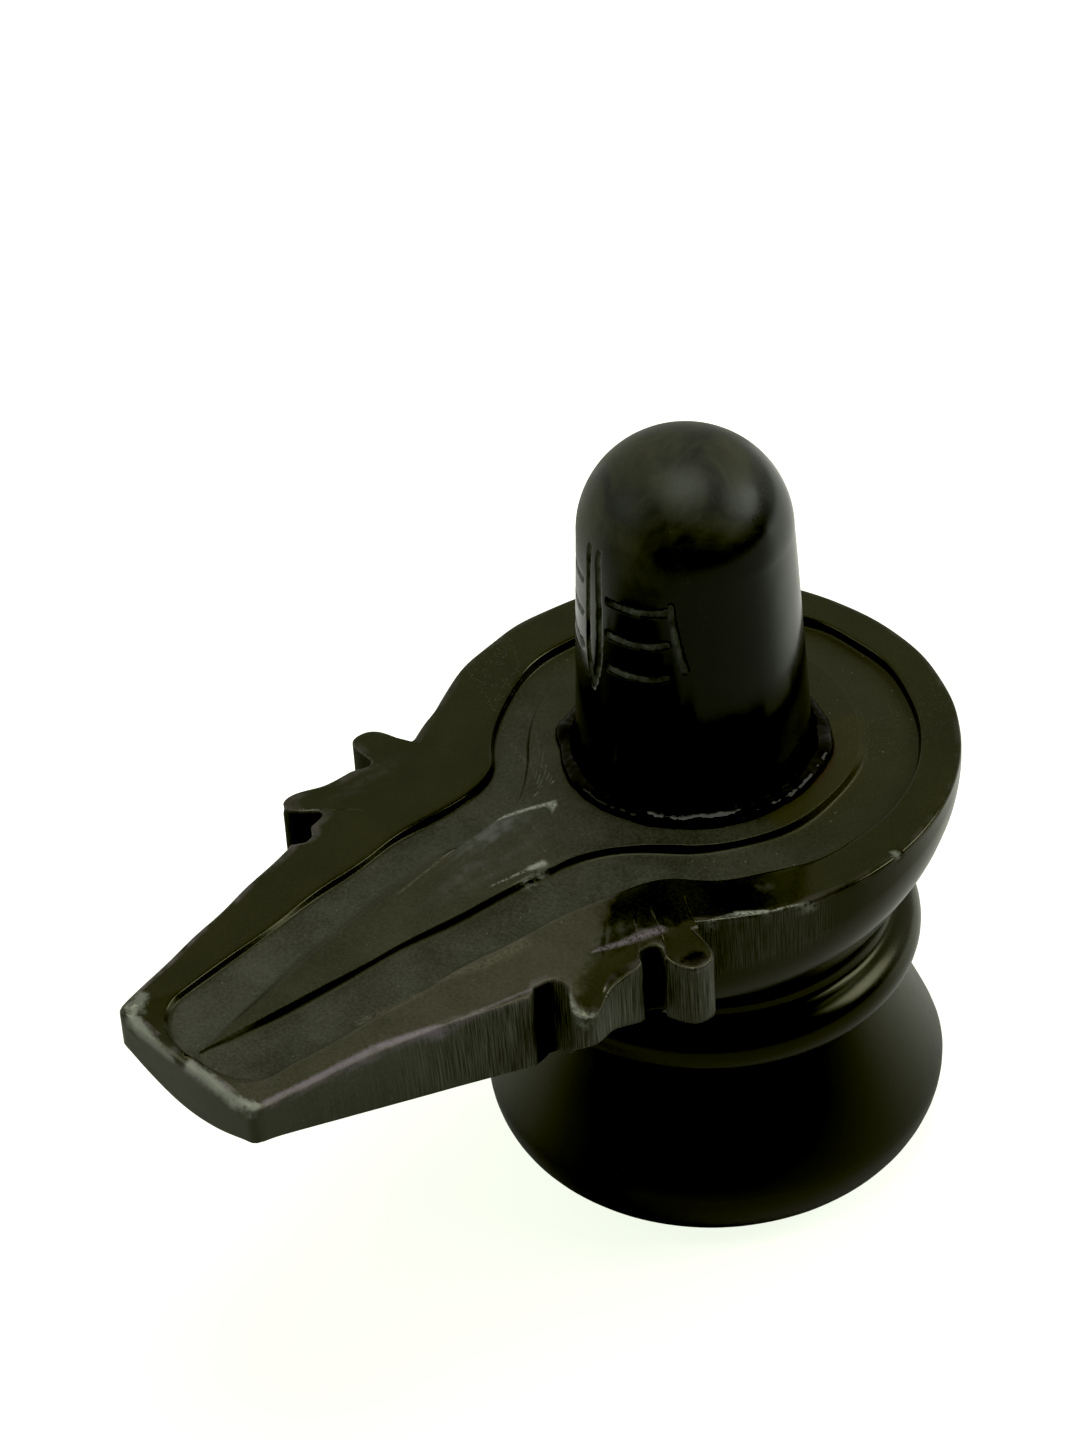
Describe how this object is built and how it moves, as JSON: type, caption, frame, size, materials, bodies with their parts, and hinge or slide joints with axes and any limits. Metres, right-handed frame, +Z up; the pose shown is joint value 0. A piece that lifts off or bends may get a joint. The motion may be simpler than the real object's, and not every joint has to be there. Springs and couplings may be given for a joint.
{
  "type": "shiva lingam",
  "caption": "Small carved stone shiva lingam: a domed polished shaft set in a round channelled plate with a long tapering spout, on a waisted foot",
  "frame": {"origin": "On the surface it stands on, on the axis of the shaft", "axes": "+Z up, the spout points along -Y, X across the spout"},
  "size_m": [0.064, 0.1102, 0.1019],
  "materials": {
    "black_stone": "hand-rubbed near-black stone with an olive tint, matte in the channel, rasped on the plate's side wall",
    "polished_black_stone": "polished black stone, softly matte on the dome",
    "setting_compound": "glossy dark setting compound squeezed out round the shaft's foot"
  },
  "bodies": {
    "root": {"yoni_base": "black_stone", "lingam_shaft": "polished_black_stone", "setting_bead": "setting_compound"}
  },
  "joints": []
}
